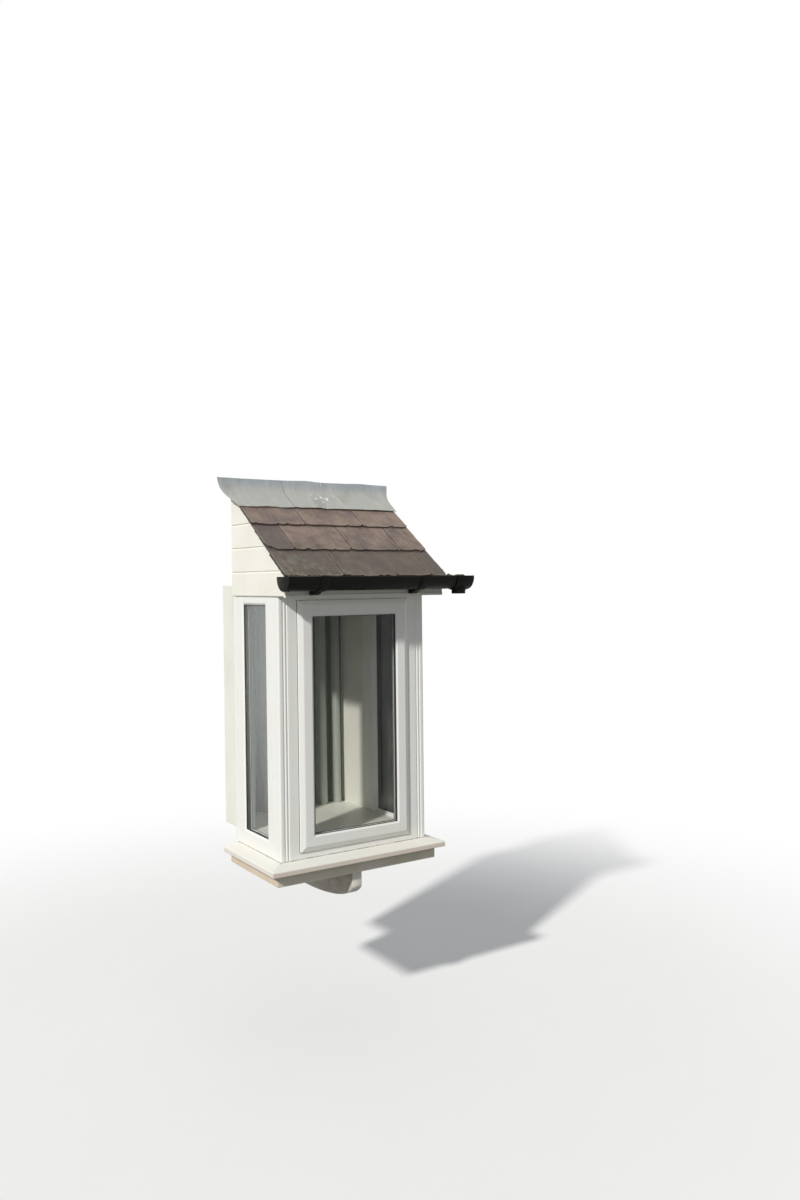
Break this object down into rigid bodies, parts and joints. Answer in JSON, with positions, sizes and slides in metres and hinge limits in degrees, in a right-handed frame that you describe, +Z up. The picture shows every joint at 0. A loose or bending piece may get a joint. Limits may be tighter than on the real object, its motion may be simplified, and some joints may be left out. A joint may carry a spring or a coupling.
{
  "type": "bay window",
  "caption": "Square oriel bay window with white plastic frames, sloped sill, boarded cheeks, slate lean-to roof, lead flashing and half-round gutter.",
  "frame": {"origin": "middle of the base board's back face, where it bears on the wall face", "axes": "+Y into the wall, -Y out of it, +X to the right along the wall seen from outside, +Z up"},
  "size_m": [1.04, 0.951, 2.0903],
  "materials": {
    "white_plastic": "smooth white extruded plastic, slightly weathered",
    "white_board": "white plastic board with a faint satin sheen",
    "white_paint": "white gloss paint on board",
    "clear_glass": "clear float glass",
    "spacer_metal": "dark aluminium spacer bar",
    "timber": "sawn softwood",
    "plywood": "plywood",
    "insulation": "rigid foam board",
    "slate": "riven purple-brown slate, weathered",
    "lead_sheet": "weathered pale grey lead sheet",
    "black_plastic": "black gutter plastic",
    "curtain_cloth": "pale grey-green woven cloth"
  },
  "bodies": {
    "root": {"front_frame": "white_plastic", "front_sash": "white_plastic", "casement_handle": "white_plastic", "left_frame": "white_plastic", "right_frame": "white_plastic", "glazing_beads": "white_plastic", "left_corner_post": "white_plastic", "right_corner_post": "white_plastic", "left_wall_trim": "white_plastic", "right_wall_trim": "white_plastic", "front_sill": "white_plastic", "left_sill": "white_plastic", "right_sill": "white_plastic", "curtain_rail": "white_plastic", "base_board": "white_board", "front_apron": "white_board", "left_apron": "white_board", "right_apron": "white_board", "left_cheek": "white_board", "right_cheek": "white_board", "eaves_soffit": "white_board", "front_fascia": "white_board", "right_barge_board": "white_board", "inner_board": "white_paint", "centre_bracket": "white_paint", "ceiling_board": "white_paint", "left_reveal_lining": "white_paint", "right_reveal_lining": "white_paint", "head_lining": "white_paint", "front_glass": "clear_glass", "left_glass": "clear_glass", "right_glass": "clear_glass", "glass_spacers": "spacer_metal", "head_plates": "timber", "cheek_studs": "timber", "wall_ledger": "timber", "rafters": "timber", "roof_deck": "plywood", "base_block": "insulation", "slate_courses": "slate", "lead_flashing": "lead_sheet", "gutter": "black_plastic", "gutter_stop_end": "black_plastic", "gutter_outlet": "black_plastic", "gutter_brackets": "black_plastic", "left_curtain": "curtain_cloth", "right_curtain": "curtain_cloth"}
  },
  "joints": []
}
